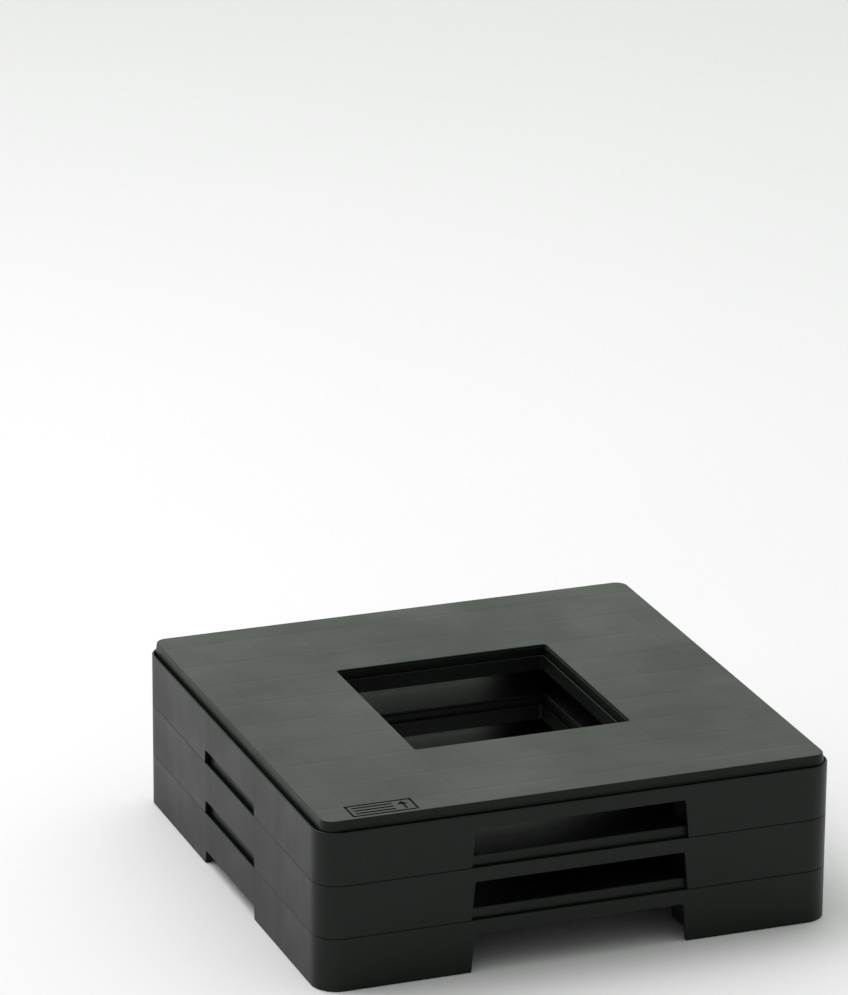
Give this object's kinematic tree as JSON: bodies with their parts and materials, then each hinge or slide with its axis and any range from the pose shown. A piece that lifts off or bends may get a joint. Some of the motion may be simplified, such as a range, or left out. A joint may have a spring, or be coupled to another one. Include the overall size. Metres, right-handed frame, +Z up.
{
  "type": "stackable monitor riser",
  "caption": "Stackable monitor riser: square moulded trays with a central hole, arched skirts and rubber grip strips, which nest into a low stand and lift apart.",
  "frame": {"origin": "centre of the stack's footprint, on the desk under the grip strips", "axes": "+Z up, +X to the user's right, +Y away from the user; the tall arches face -Y and +Y and the small pictogram is at the front left"},
  "size_m": [0.3302, 0.3302, 0.1074],
  "materials": {
    "moulded_plastic": "black injection-moulded plastic with a fine moulded texture and a soft sheen",
    "grip_rubber": "matt black rubber"
  },
  "bodies": {
    "base_tier": {"base_tray": "moulded_plastic", "base_grip_front_left": "grip_rubber", "base_grip_front_right": "grip_rubber", "base_grip_back_left": "grip_rubber", "base_grip_back_right": "grip_rubber"},
    "middle_tier": {"middle_tray": "moulded_plastic", "middle_grip_front_left": "grip_rubber", "middle_grip_front_right": "grip_rubber", "middle_grip_back_left": "grip_rubber", "middle_grip_back_right": "grip_rubber"},
    "top_tier": {"top_tray": "moulded_plastic", "top_grip_front_left": "grip_rubber", "top_grip_front_right": "grip_rubber", "top_grip_back_left": "grip_rubber", "top_grip_back_right": "grip_rubber"}
  },
  "joints": [
    {"name": "middle_lift", "type": "slide", "parent": "base_tier", "child": "middle_tier", "axis": [0, 0, 1], "range_m": [0, 0.0606]},
    {"name": "top_lift", "type": "slide", "parent": "middle_tier", "child": "top_tier", "axis": [0, 0, 1], "range_m": [0, 0.0606]}
  ]
}
